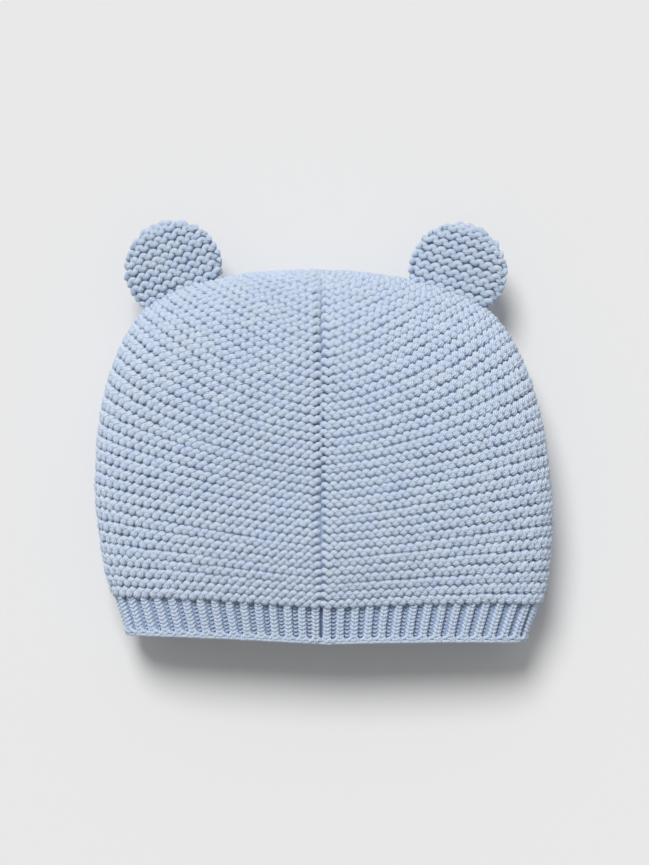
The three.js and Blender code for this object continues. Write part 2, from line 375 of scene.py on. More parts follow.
def lines_object(name, lines, depth):
    """A mesh of bare edges that carries the lines, sunk by depth, for the knitting tree to follow."""
    points, outs, edges = [], [], []
    values = {"rise": [], "slack": []}
    for line in lines:
        first = len(points)
        sink = depth + UNDERSIDE_SINK * np.maximum(-line["out"][:, 2:], 0) ** 2
        sunk = (line["points"] + SHIFT - sink * line["out"]) * MM
        points.extend(sunk.tolist())
        outs.extend(line["out"].tolist())
        edges.extend((first + i, first + i + 1) for i in range(len(sunk) - 1))
        values["rise"].extend(line["rise"] * MM)
        values["slack"].extend(np.full(len(sunk), line.get("slack", 0.0)))
    mesh = bpy.data.meshes.new(name)
    mesh.from_pydata(points, edges, [])
    mesh.attributes.new("out", "FLOAT_VECTOR", "POINT").data.foreach_set("vector", np.ravel(outs))
    for key, numbers in values.items():
        mesh.attributes.new(key, "FLOAT", "POINT").data.foreach_set("value", numbers)
    return linked(name, mesh)


# Strands: each stitch is two bends of yarn, and each bend is a Bezier segment given by its start,
# its two handles and its end. x runs along the row, y up the knitting and z out of it, in shares of
# the stitch's width, of the ridge's pitch, and in millimetres.
BENDS = ("First", "Second")
CORNERS = ("Start", "Start Handle", "End Handle", "End")


def turned(bend):
    """The bend's other half, turned half round about the stitch's middle."""
    return [(-x, -y, z) for x, y, z in reversed(bend)]


GARTER_HEAD = [(-0.5, -0.06, -1.2), (-0.66, 0.22, 0.35), (-0.08, 0.34, 0.8), (0.0, 0.0, -0.1)]
GARTER = (GARTER_HEAD, turned(GARTER_HEAD))
GARTER_MIRRORED = tuple([(-x, y, z) for x, y, z in bend] for bend in GARTER)
EAR_HEAD = [(-0.5, -0.1, -1.1), (-0.58, 0.26, 0.1), (-0.02, 0.34, 0.5), (0.0, 0.0, 0.1)]
EAR_GARTER = (EAR_HEAD, turned(EAR_HEAD))
KNIT_LEG = [(-0.42, 0.0, -0.9), (-0.25, 0.045, 0.3), (0.15, 0.165, 0.5), (0.42, 0.21, -1.0)]
KNIT = (KNIT_LEG, [(x, -y, z) for x, y, z in KNIT_LEG])
PURL_HEAD = [(0.25, -0.17, -0.9), (-0.3, -0.07, 0.3), (-0.3, 0.07, 0.3), (0.25, 0.17, -0.9)]
PURL = (PURL_HEAD, [(x + 0.5, 0.6 * y, z - 0.9) for x, y, z in PURL_HEAD])
FLARE = [(0.7, 0.16, -0.4), (0.25, 0.2, 0.4), (-0.15, 0.34, 0.3), (-0.4, 0.5, -0.6)]
CAST_ON = (FLARE, [(x, -y, z) for x, y, z in FLARE])
HEM_ROPE = ([(-0.62, -0.12, -0.35), (-0.2, 0.1, 0.2), (0.2, -0.1, 0.2), (0.62, 0.12, -0.35)],
            [(-0.6, 0.0, -1.6), (-0.2, 0.15, -1.2), (0.2, 0.0, -1.2), (0.6, 0.1, -1.6)])


class Tree:
    """A small helper that adds sockets and nodes to a tree and links them."""

    def __init__(self, tree):
        self.tree = tree

    def take(self, name, kind, default=None, low=None):
        """Adds a named input to the tree."""
        socket = self.tree.interface.new_socket(name, in_out="INPUT", socket_type="NodeSocket" + kind)
        if default is not None:
            socket.default_value = default
        if low is not None:
            socket.min_value = low
        return socket.identifier

    def give(self, name, kind, value):
        """Adds a named output to the tree and links the value to it."""
        self.tree.interface.new_socket(name, in_out="OUTPUT", socket_type="NodeSocket" + kind)
        self.tree.links.new(value, self.node("NodeGroupOutput").inputs[0])

    def node(self, kind, inputs=None, **settings):
        node = self.tree.nodes.new(kind)
        for key, value in settings.items():
            setattr(node, key, value)
        for key, value in (inputs or {}).items():
            socket = node.inputs[key]
            if isinstance(value, bpy.types.NodeSocket):
                self.tree.links.new(value, socket)
            else:
                socket.default_value = value
        return node

    def out(self, kind, inputs=None, output=0, **settings):
        """Adds a node and returns one of its outputs."""
        return self.node(kind, inputs, **settings).outputs[output]

    def math(self, operation, *values, kind="ShaderNodeMath"):
        return self.out(kind, dict(enumerate(values)), operation=operation)

    def remap(self, value, low, high, start, end, **settings):
        """Turns a value from low to high into one from start to end."""
        inputs = {0: value, 1: low, 2: high, 3: start, 4: end}
        return self.out("ShaderNodeMapRange", inputs, **settings)

    def mix(self, share, first, second, **settings):
        """Mixes two colours, with this share of the second."""
        inputs = {0: share, 6: first, 7: second}
        return self.out("ShaderNodeMix", inputs, 2, data_type="RGBA", **settings)


def knitting_tree():
    """Follows rows of bare edges and sets one stitch of two yarn bends at each stitch's place."""
    tree = bpy.data.node_groups.new("Knit Along Rows", "GeometryNodeTree")
    t = Tree(tree)
    ids = {}
    for name, kind, *values in (
        ("Rows", "Geometry"),
        ("Stitch Width", "Float", 3.4 * MM, 0.0),
        ("Ridge Pitch", "Float", 3.7 * MM, 0.0),
        ("Yarn Radius", "Float", 0.86 * MM, 0.0),
        ("Bend Steps", "Int", 6, 3),
        ("Yarn Sides", "Int", 6, 3),
        *((f"{bend} {corner}", "Vector") for bend in BENDS for corner in CORNERS),
        ("Unevenness", "Float", 0.1, 0.0),
        ("Seed", "Int", 1),
        ("Yarn", "Material"),
    ):
        ids[name] = t.take(name, kind, *values)
    given = t.node("NodeGroupInput").outputs

    # One stitch: its two bends, swept by the yarn's round section.
    both = t.node("GeometryNodeJoinGeometry")
    for bend in BENDS:
        corners = {corner: given[f"{bend} {corner}"] for corner in CORNERS}
        curve = t.out("GeometryNodeCurvePrimitiveBezierSegment",
                      {"Resolution": given["Bend Steps"], **corners})
        tree.links.new(curve, both.inputs[0])
    length = t.out("GeometryNodeSplineParameter", output="Length")
    strand = t.out("GeometryNodeStoreNamedAttribute",
                   {"Geometry": both.outputs[0], "Name": "strand_along", "Value": length})
    circle = t.out("GeometryNodeCurvePrimitiveCircle",
                   {"Resolution": given["Yarn Sides"], "Radius": given["Yarn Radius"]})
    spoke = t.math("NORMALIZE", t.out("GeometryNodeInputPosition"), kind="ShaderNodeVectorMath")
    section = t.out("GeometryNodeStoreNamedAttribute",
                    {"Geometry": circle, "Name": "strand_round", "Value": spoke},
                    data_type="FLOAT_VECTOR")
    tube = t.out("GeometryNodeCurveToMesh",
                 {"Curve": strand, "Profile Curve": section, "Fill Caps": True})
    smooth = t.out("GeometryNodeSetShadeSmooth", {"Geometry": tube})
    level = t.out("ShaderNodeSeparateXYZ", {0: t.out("GeometryNodeInputPosition")}, "Z")
    stitch = t.out("GeometryNodeStoreNamedAttribute",
                   {"Geometry": smooth, "Name": "strand_level", "Value": level})

    # The places: an odd number of points along each row, of which every second one holds a stitch.
    rows = t.out("GeometryNodeMeshToCurve", {"Mesh": given["Rows"]})
    row_length = t.out("GeometryNodeSplineLength", output="Length")
    slack = t.out("GeometryNodeInputNamedAttribute", {"Name": "slack"}, data_type="FLOAT")
    number = t.math("ADD", t.math("DIVIDE", row_length, given["Stitch Width"]), slack)
    number = t.math("MAXIMUM", t.math("ROUND", number), 1.0)
    points = t.out("GeometryNodeResampleCurve",
                   {"Curve": rows, "Count": t.math("MULTIPLY_ADD", number, 2.0, 1.0)})
    index = t.out("GeometryNodeSplineParameter", output="Index")
    every_second = t.math("GREATER_THAN", t.math("MODULO", index, 2.0), 0.5)

    # Each stitch faces outwards along its row, and turns, swells and strays a little by chance.
    seed, high = given["Seed"], given["Unevenness"]
    low = t.math("MULTIPLY", high, -1.0)
    lowest, highest = (t.out("ShaderNodeCombineXYZ", {0: one, 1: one, 2: one}) for one in (low, high))

    def chance(own_seed):
        return t.out("FunctionNodeRandomValue", {"Min": lowest, "Max": highest, "Seed": own_seed},
                     data_type="FLOAT_VECTOR")

    outwards = t.out("GeometryNodeInputNamedAttribute", {"Name": "out"}, data_type="FLOAT_VECTOR")
    along = t.out("GeometryNodeInputTangent")
    facing = t.out("FunctionNodeAxesToRotation", {"Primary Axis": outwards, "Secondary Axis": along},
                   primary_axis="Z", secondary_axis="X")
    sway = t.out("FunctionNodeEulerToRotation", {0: chance(seed)})
    facing = t.out("FunctionNodeRotateRotation", {"Rotation": facing, "Rotate By": sway},
                   rotation_space="LOCAL")
    reach = t.math("MULTIPLY", given["Stitch Width"], STRAY)
    stray = t.out("ShaderNodeVectorMath", {0: chance(t.math("ADD", seed, 3.0)), "Scale": reach},
                  operation="SCALE")
    rise = t.out("GeometryNodeInputNamedAttribute", {"Name": "rise"}, data_type="FLOAT")
    size = t.out("ShaderNodeCombineXYZ", {
        0: t.math("DIVIDE", t.math("DIVIDE", row_length, number), given["Stitch Width"]),
        1: t.math("DIVIDE", rise, given["Ridge Pitch"]),
        2: 1.0})
    swell = t.math("MULTIPLY_ADD", chance(t.math("ADD", seed, 1.0)), (0.5, 0.5, 0.5), (1.0, 1.0, 1.0),
                   kind="ShaderNodeVectorMath")
    size = t.math("MULTIPLY", size, swell, kind="ShaderNodeVectorMath")
    placed = t.out("GeometryNodeInstanceOnPoints", {
        "Points": points, "Selection": every_second, "Instance": stitch,
        "Rotation": facing, "Scale": size})
    tint = t.out("FunctionNodeRandomValue", {"Seed": t.math("ADD", seed, 2.0)}, 1, data_type="FLOAT")
    tinted = t.out("GeometryNodeStoreNamedAttribute",
                   {"Geometry": placed, "Name": "stitch_tint", "Value": tint}, domain="INSTANCE")
    strayed = t.out("GeometryNodeTranslateInstances",
                    {"Instances": tinted, "Translation": stray, "Local Space": False})
    real = t.out("GeometryNodeRealizeInstances", {"Geometry": strayed})
    done = t.out("GeometryNodeSetMaterial", {"Geometry": real, "Material": given["Yarn"]})
    t.give("Stitches", "Geometry", done)
    return tree, ids


def knit(name, lines, shape, width, pitch, yarn, seed, radius, unevenness, depth=YARN_DEPTH,
         steps=6, sides=6):
    """One piece of knitting: stitches of one shape set along lines, as a plain mesh."""
    obj = lines_object(name, lines, depth)
    tree = bpy.data.node_groups.get("Knit Along Rows")
    if tree is None:
        tree, ids = knitting_tree()
        tree["sockets"] = ids
    ids = dict(tree["sockets"])
    modifier = obj.modifiers.new("Knitting", "NODES")
    modifier.node_group = tree
    values = {
        "Stitch Width": width * MM, "Ridge Pitch": pitch * MM, "Yarn Radius": radius * MM,
        "Bend Steps": steps, "Yarn Sides": sides, "Unevenness": unevenness, "Seed": seed, "Yarn": yarn,
    }
    for bend, corners in zip(BENDS, shape):
        for corner, (x, y, z) in zip(CORNERS, corners):
            values[f"{bend} {corner}"] = (x * width * MM, y * pitch * MM, z * MM)
    for key, value in values.items():
        modifier[ids[key]] = value
    return made_plain(obj, yarn)


def made_plain(obj, material):
    """Replaces the object's mesh by its evaluated one and takes its modifiers off."""
    graph = bpy.context.evaluated_depsgraph_get()
    mesh = bpy.data.meshes.new_from_object(obj.evaluated_get(graph))
    mesh.name = obj.name
    obj.modifiers.clear()
    obj.data = mesh
    if material.name not in mesh.materials:
        mesh.materials.clear()
        mesh.materials.append(material)
    return obj


def joined(name, pieces):
    """Joins pieces into one object of that name."""
    with bpy.context.temp_override(active_object=pieces[0], selected_editable_objects=pieces):
        bpy.ops.object.join()
    pieces[0].name = pieces[0].data.name = name
    return pieces[0]


def grid_mesh(name, rings, outer_rings, outer_material):
    """A closed skin through rings that all have as many points, the last ring joined to the first.

    The first outer_rings rings are the backing of the stitches, and the rest shows inside the hat.
    """
    count = len(rings[0])
    points = [tuple((p + SHIFT) * MM) for ring in rings for p in ring]
    faces = []
    for i in range(len(rings)):
        a, b = i * count, (i + 1) % len(rings) * count
        for j in range(count):
            k = (j + 1) % count
            faces.append((a + j, a + k, b + k, b + j))
    mesh = bpy.data.meshes.new(name)
    mesh.from_pydata(points, [], faces)
    mesh.polygons.foreach_set("use_smooth", [True] * len(faces))
    inside = [int(f // count >= outer_rings) for f in range(len(faces))]
    mesh.polygons.foreach_set("material_index", inside)
    # the backing and the inside get darker copies of the yarn, painted shade
    for material in (outer_material, "shaded_inner_yarn"):
        mesh.materials.append(bpy.data.materials[material])
    return linked(name, mesh)


# Materials.
PATCH_SHARE = 0.5  # at most this share of the shaded or the warm tone is mixed in
PATCH_RANGE = (0.35, 0.7)  # the noise's values between which the shaded tone comes in
WARM_FROM = 0.55  # stitches whose tint is above this have some of the warm tone


def colour_group():
    """Yarn colour that drifts a little from stitch to stitch and from place to place."""
    group = bpy.data.node_groups.new("Drifting Yarn Colour", "ShaderNodeTree")
    t = Tree(group)
    for name, kind, default in (
        ("Yarn Colour", "Color", (0.5, 0.6, 0.75, 1)),
        ("Shade Colour", "Color", (0.4, 0.5, 0.68, 1)),
        ("Warm Colour", "Color", (0.55, 0.62, 0.7, 1)),
        ("Tint", "Float", 0.5),
        ("Patch Size", "Float", 120.0),
    ):
        t.take(name, kind, default)
    given = t.node("NodeGroupInput").outputs
    place = t.out("ShaderNodeTexCoord", output="Object")
    patches = t.out("ShaderNodeTexNoise", {"Vector": place, "Scale": given["Patch Size"], "Detail": 2.0})
    cool = t.remap(patches, *PATCH_RANGE, 0.0, PATCH_SHARE)
    first = t.mix(cool, given["Yarn Colour"], given["Shade Colour"])
    warm = t.remap(given["Tint"], WARM_FROM, 1.0, 0.0, PATCH_SHARE)
    t.give("Colour", "Color", t.mix(warm, first, given["Warm Colour"]))


def twist_group():
    """Height of plied yarn: its plies wind round the strand, under a fine fuzz."""
    group = bpy.data.node_groups.new("Plied Yarn Height", "ShaderNodeTree")
    t = Tree(group)
    for name, default in (("Twist Length", 4.2 * MM), ("Plies", 6.0), ("Fuzz", 0.35),
                          ("Fuzz Scale", 1700.0)):
        t.take(name, "Float", default)
    given = t.node("NodeGroupInput").outputs
    along = t.out("ShaderNodeAttribute", output="Fac", attribute_name="strand_along")
    spoke = t.out("ShaderNodeAttribute", output="Vector", attribute_name="strand_round")
    split = t.node("ShaderNodeSeparateXYZ", {0: spoke}).outputs
    angle = t.math("ARCTAN2", split["Y"], split["X"])
    turns = t.math("DIVIDE", along, given["Twist Length"])
    wound = t.math("MULTIPLY_ADD", turns, TAU, angle)
    half = t.math("MULTIPLY", given["Plies"], 0.5)
    plies = t.math("ABSOLUTE", t.math("SINE", t.math("MULTIPLY", wound, half)))
    place = t.out("ShaderNodeTexCoord", output="Object")
    fuzz = t.out("ShaderNodeTexNoise",
                 {"Vector": place, "Scale": given["Fuzz Scale"], "Detail": 3.0, "Roughness": 0.6})
    t.give("Height", "Float", t.math("MULTIPLY_ADD", fuzz, given["Fuzz"], plies))


GROOVE_SHADE = 0.84  # painted shade: the grooves between the plies are darker by this factor
GROOVE_FROM = 0.1  # up to this height of the plies they are darkest
DEEP_FROM = -1.5  # below this level in its stitch a strand has its full painted shade, darker and fuller in colour
DEEP_TO = 0.6  # above this level it has no painted shade
# the painted shade deep in the knitting: how dark it is, and how much fuller its colour
DEEP_SHADE = 0.95
DEEP_POWER = 1.4
PLY_STRENGTH = 0.8
PLY_HEIGHT = 0.33


def preset(node, values):
    """Sets constants on a node's own sockets."""
    for key, value in values.items():
        node.inputs[key].default_value = value


def yarn_material(name, colours, plies=True):
    """Soft matt yarn. colours holds its main, shaded and warm tones.

    The parts of a strand that lie deep in the knitting are painted darker and fuller in colour,
    as painted shade in the recesses of the stitches.
    """
    material = bpy.data.materials.new(name)
    material.use_nodes = True
    links = material.node_tree.links
    t = Tree(material.node_tree)
    shader = material.node_tree.nodes["Principled BSDF"]
    drift = t.node("ShaderNodeGroup", node_tree=bpy.data.node_groups["Drifting Yarn Colour"])
    for key, colour in zip(("Yarn Colour", "Shade Colour", "Warm Colour"), colours):
        drift.inputs[key].default_value = (*colour, 1)
    tint = t.out("ShaderNodeAttribute", output="Fac", attribute_name="stitch_tint")
    links.new(tint, drift.inputs["Tint"])
    height = t.node("ShaderNodeGroup", node_tree=bpy.data.node_groups["Plied Yarn Height"])
    if not plies:
        height.inputs["Plies"].default_value = 0.0
    # painted shade in the grooves between the plies
    groove = t.remap(height.outputs[0], GROOVE_FROM, 1.0, GROOVE_SHADE, 1.0)
    shaded = t.mix(1.0, drift.outputs[0], groove, blend_type="MULTIPLY")
    # painted shade: strands that lie deep in their stitch are darker and fuller in colour
    if plies:
        level = t.out("ShaderNodeAttribute", output="Fac", attribute_name="strand_level")
        deep = t.remap(level, DEEP_FROM * MM, DEEP_TO * MM, 1.0, 0.0, interpolation_type="SMOOTHSTEP")
        full = tuple(DEEP_SHADE * part**DEEP_POWER for part in colours[0])
        shaded = t.mix(deep, shaded, (*full, 1))
    links.new(shaded, shader.inputs["Base Color"])
    bump = t.out("ShaderNodeBump", {
        "Height": height.outputs[0], "Strength": PLY_STRENGTH, "Distance": PLY_HEIGHT * MM})
    links.new(bump, shader.inputs["Normal"])
    preset(shader, {
        "Roughness": 0.92,
        "Specular IOR Level": 0.2,
        "Sheen Weight": 0.35,
        "Sheen Roughness": 0.5,
        "Sheen Tint": (0.85, 0.92, 1.0, 1),
    })


COLOUR = {"subtype": "COLOR", "size": 3, "min": 0, "max": 1}


class HatSizes(bpy.types.PropertyGroup):
    """Sizes of the knitting that a user would change."""

    stitch_width: FloatProperty(
        name="Stitch Width", description="Width of one stitch of the crown",
        default=3.4 * MM, min=1 * MM, unit="LENGTH")
    yarn_radius: FloatProperty(
        name="Yarn Radius", description="Half the thickness of the yarn",
        default=1.31 * MM, min=0.1 * MM, unit="LENGTH")
    ear_stitch_width: FloatProperty(
        name="Ear Stitch Width", description="Width of one stitch of the ears, which are knitted looser",
        default=4.2 * MM, min=1 * MM, unit="LENGTH")
    ear_ridge_pitch: FloatProperty(
        name="Ear Ridge Pitch", description="Distance between two ridges of an ear",
        default=3.7 * MM, min=1 * MM, unit="LENGTH")
    rib_course: FloatProperty(
        name="Rib Course", description="Height of one course of the ribbed band",
        default=1.62 * MM, min=0.5 * MM, unit="LENGTH")
    unevenness: FloatProperty(
        name="Unevenness", description="How much a stitch turns, swells and strays at random",
        default=0.12, min=0, max=1, subtype="FACTOR")
    seed: IntProperty(name="Seed", description="Start of the random choices", default=7, min=0)


class HatColours(bpy.types.PropertyGroup):
    """Colours of the yarn and of the surface below."""

    yarn: FloatVectorProperty(
        name="Yarn", description="Main colour of the yarn",
        default=(0.62, 0.725, 0.88), **COLOUR)
    shade: FloatVectorProperty(
        name="Shaded Yarn", description="Cooler tone that some stitches have",
        default=(0.58, 0.675, 0.88), **COLOUR)
    warm: FloatVectorProperty(
        name="Warm Yarn", description="Warmer tone that some stitches have",
        default=(0.655, 0.75, 0.85), **COLOUR)
    surface: FloatVectorProperty(
        name="Surface", description="Colour of the surface that the hat lies on",
        default=(0.8, 0.8, 0.8), **COLOUR)


def settings():
    scene = bpy.context.scene
    return scene.hat_sizes, scene.hat_colours


def finished(obj, slot, *nodes):
    """Sets the piece on the hat's body and hides the solids that it stands for. The slot is not used."""
    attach(obj, "root")
    if nodes:
        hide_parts(*nodes)
    return obj


class HAT_OT_yarns(bpy.types.Operator):
    """Mix the yarns' colours and their twist"""

    bl_idname = "hat.yarns"
    bl_label = "Yarns"

    RIB_PAINTED_LIGHT = 1.1  # painted light: the ribs' yarn is a lighter copy of the crown's yarn
    # Darker, fuller copies of the yarn, painted shade for what is seen deep in the knitting: their shade
    # and how full their colour is.
    PAINTED_SHADE_YARNS = (("shaded_backing_yarn", 0.78, 1.6), ("shaded_gap_yarn", 0.82, 1.8), ("shaded_inner_yarn", 0.8, 1.15))

    def execute(self, context):
        _, colours = settings()
        tones = tuple(colours.yarn), tuple(colours.shade), tuple(colours.warm)
        colour_group()
        twist_group()
        yarn_material("crown_yarn", tones)
        # the ribs get a lighter copy of the yarn, painted light
        yarn_material("rib_yarn", [[self.RIB_PAINTED_LIGHT * part for part in tone] for tone in tones])
        yarn_material("ear_yarn", tones)
        for name, shade, power in self.PAINTED_SHADE_YARNS:
            shaded_tones = tuple(tuple(shade * part**power for part in tone) for tone in tones)
            yarn_material(name, shaded_tones, plies=False)
        return {"FINISHED"}


class HAT_OT_crown_backing(bpy.types.Operator):
    """Make the crown's backing, whose inside shows in the hat's mouth"""

    bl_idname = "hat.crown_backing"
    bl_label = "Crown Backing"

    AROUND = 144
    RIDGE_STEPS = 4
    INNER_RELIEF = 0.45
    SEAM_SINK = 1.0  # the backing lies deeper by this much under the seam
    SEAM_SPREAD = 0.05  # within about this turn of it

    def execute(self, context):
        turns = np.linspace(0, TAU, self.AROUND, endpoint=False)
        places, ridges, last = ridge_map(turns, BACKING_GAP)
        depth = BACKING_DEPTH + BACKING_SINK * np.abs(np.cos(turns))
        depth += self.SEAM_SINK * np.exp(-(((turns - TAU / 4) / self.SEAM_SPREAD) ** 2))
        outer = [(ridge, depth) for ridge in [*np.arange(0, last, 1.0), last]]
        inner = [(last, CROWN_WALL)]
        for ridge in np.arange(last, 0, -1 / self.RIDGE_STEPS):
            inner.append((ridge, CROWN_WALL + self.INNER_RELIEF * math.cos(TAU * ridge)))
        inner.append((0, CROWN_WALL))
        rings = []
        for ridge, inset in outer + inner:
            rings.append(hat_surface(places_of(ridge, places, ridges), turns, inset)[0])
        obj = grid_mesh("crown_backing", rings, len(outer), "shaded_backing_yarn")
        finished(obj, "garter_knit", "crown")
        return {"FINISHED"}


class HAT_OT_crown_stitches(bpy.types.Operator):
    """Knit the crown's garter ridges, in two halves on its back and two on its front"""

    bl_idname = "hat.crown_stitches"
    bl_label = "Crown Stitches"

    SEAM_GAP = 0.7
    SEAM_OVERSHOOT = 0.2
    MOST_SLACK = 0.7
    SHORT_ROW = 4  # rows of fewer stitches, by the top, always get one more

    def execute(self, context):
        sizes, _ = settings()
        width, radius = sizes.stitch_width / MM, sizes.yarn_radius / MM
        yarn = bpy.data.materials["crown_yarn"]
        over = self.SEAM_OVERSHOOT
        chance = np.random.default_rng(sizes.seed)
        quarters = (
            ("crown_back_right", TAU / 4 + over, 0.0, 1),
            ("crown_back_left", TAU / 4 - over, TAU / 2, -1),
            ("crown_front_right", 0.0, -TAU / 4, 0),
            ("crown_front_left", TAU / 2, TAU * 3 / 4, 0),
        )
        for number, (name, start, end, side) in enumerate(quarters):
            lines = crown_lines(start, end, side < 0)
            if side:
                lines = [cut_at_seam(line, side, self.SEAM_GAP) for line in lines]
            lines = [line for line in lines if line and line_length(line) > width / 2]
            for line in lines:
                line["slack"] = chance.uniform(-self.MOST_SLACK, self.MOST_SLACK)
                if line_length(line) < self.SHORT_ROW * width:
                    line["slack"] = self.MOST_SLACK
            steps, sides = (6, 6) if side else (5, 5)
            shape = GARTER_MIRRORED if "left" in name else GARTER
            piece = knit(name, lines, shape, width, RIDGE_PITCH, yarn, sizes.seed + number, radius,
                         sizes.unevenness, steps=steps, sides=sides)
            finished(piece, "garter_knit")
        return {"FINISHED"}


RING = np.linspace(0, TAU, RING_TURNS)
BACK = slice(RING_TURNS // 8, RING_TURNS * 3 // 8 + 1)  # the eighths of a ring beside the seam
NEAR_HEM = 2e-4  # the lowest place at which the slope of the surface is measured
SEAM_SPACING = 0.8  # the two ribs beside the seam are this share of the others' distance apart


def ring_run(place, inset):
    """A section's points, and how far round it each of them is."""
    ring = hat_surface(np.full_like(RING, place), RING, inset)[0]
    return ring, np.concatenate([[0], np.cumsum(np.linalg.norm(np.diff(ring, axis=0), axis=1))])


def rib_line(fraction, places, inset=RIB_INSET):
    """A line up the ribbed band, at a share of the way round from the seam."""
    points, outs = [], []
    for place in places:
        ring, run = ring_run(place, inset)
        seam = np.interp(-SEAM_SIDE, -ring[BACK, 0], run[BACK])
        at = (seam - fraction * run[-1]) % run[-1]
        turn = np.interp(at, run, RING)
        points.append(hat_surface(place, turn, inset)[0])
        outs.append(line_on(np.atleast_1d(max(place, NEAR_HEM)), np.atleast_1d(turn))["out"][0])
    rise = np.full(len(points), RIB_PITCH)
    return {"points": np.array(points), "out": np.array(outs), "rise": rise}


def rib_fractions():
    """Where the knit ribs lie round the band, as shares of the way round."""
    count = round(ring_run(0.0, RIB_INSET)[1][-1] / RIB_PITCH)
    seam_share = SEAM_SPACING / count
    return [seam_share / 2 + i * (1 - seam_share) / (count - 1) for i in range(count)]


class HAT_OT_rib(bpy.types.Operator):
    """Knit the ribbed band, with its backing and its cast-on edge"""

    bl_idname = "hat.rib"
    bl_label = "Ribbed Band"

    LINE_POINTS = 5
    HEM_END = 0.9  # the ribs' knitting ends this far above the hem
    TUCK = 1.2  # and goes on this far under the crown
    FLARE_AT = 1.1  # the height of the cast-on loops
    # The yarn of the ribs, of the bars between them and of the cast-on loops.
    LEG_RADIUS = 0.8
    LEG_DEPTH = LEG_RADIUS + 0.1
    PURL_RADIUS = 0.5
    PURL_DEPTH = 2.15
    HOOK_RADIUS = 0.82
    BACKING = 1.25  # how deep the backing lies under the ribs
    RIPPLE = 0.7  # half the height of its ripples, which are deepest under the valleys
    BACKING_WALL = 1.2
    BACKING_STEPS = 8  # points of the backing for each rib
    BACKING_RINGS = 7
    # The rope of slanted loops under the hem: its height, the pitch of its loops, its depth and radius.
    ROPE_RISE = 0.75
    ROPE_PITCH = 2.4
    ROPE_DEPTH = 0.75
    ROPE_RADIUS = 0.72
    ROPE_POINTS = 241

    def execute(self, context):
        sizes, _ = settings()
        yarn = bpy.data.materials["rib_yarn"]
        course = sizes.rib_course / MM
        top = place_at(RIB_HEIGHT + self.TUCK)
        places = np.linspace(place_at(self.HEM_END), top, self.LINE_POINTS)
        fractions = rib_fractions()
        ribs = [rib_line(f, places) for f in fractions]
        between = [(a + b) / 2 for a, b in zip(fractions, fractions[1:])]
        valleys = [rib_line(f, places) for f in between]
        loops = [{key: values[:2] for key, values in line.items()} for line in ribs]
        ends = [[self.FLARE_AT - course / 2], [self.FLARE_AT + course / 2]]
        for line in loops:
            up = unit(line["points"][1] - line["points"][0])
            line["points"] = line["points"][0] + up * ends
        legs = knit("rib_knit", ribs, KNIT, course, RIB_PITCH, yarn, sizes.seed + 10, self.LEG_RADIUS,
                    unevenness=0.06, depth=self.LEG_DEPTH, steps=5)
        bars = knit("rib_purl", valleys, PURL, course, RIB_PITCH, yarn, sizes.seed + 11,
                    self.PURL_RADIUS, unevenness=0.1, depth=self.PURL_DEPTH, steps=4, sides=5)
        hooks = knit("rib_cast_on", loops, CAST_ON, course, RIB_PITCH, yarn, sizes.seed + 13,
                     self.HOOK_RADIUS, unevenness=0.05, depth=self.LEG_DEPTH)
        edge = self.hem_rope(sizes, yarn)
        finished(joined("rib_stitches", [legs, bars, hooks, edge]), "rib_knit")
        self.backing()
        return {"FINISHED"}

    def hem_rope(self, sizes, yarn):
        """The row of slanted loops round the underside of the hem."""
        turns = np.linspace(0, TAU, self.ROPE_POINTS)
        line = line_on(np.full_like(turns, NEAR_HEM), turns)
        ring = hat_surface(np.zeros_like(turns), turns, RIB_INSET)[0]
        line["points"] = ring + [0, self.ROPE_RISE, 0]
        line["rise"] = np.full(len(turns), self.ROPE_PITCH)
        return knit("rib_hem", [line], HEM_ROPE, RIB_PITCH / 2, self.ROPE_PITCH, yarn, sizes.seed + 12,
                    self.ROPE_RADIUS, unevenness=0.05, depth=self.ROPE_DEPTH, steps=5)

    def backing(self):
        ribs = rib_fractions()
        count = self.BACKING_STEPS * len(ribs)
        places = np.linspace(0.0, place_at(RIB_HEIGHT + self.TUCK), self.BACKING_RINGS)
        around = np.arange(count) / count
        lines = [rib_line(share, places, RIB_INSET + self.BACKING) for share in around]
        phase = (around - ribs[0]) / (ribs[1] - ribs[0])
        ripple = self.RIPPLE * (1 - np.cos(TAU * phase))
        order = range(len(places))
        rings = []
        for wall, numbers in ((0.0, order), (self.BACKING_WALL, reversed(order))):
            for n in numbers:
                rings.append([line["points"][n] - line["out"][n] * (wall + ripple[i])
                              for i, line in enumerate(lines)])
        # the rib's backing has a darker copy of the yarn, painted shade
        obj = grid_mesh("rib_backing", rings, len(places), "shaded_gap_yarn")
        finished(obj, "rib_knit", "rib_band")


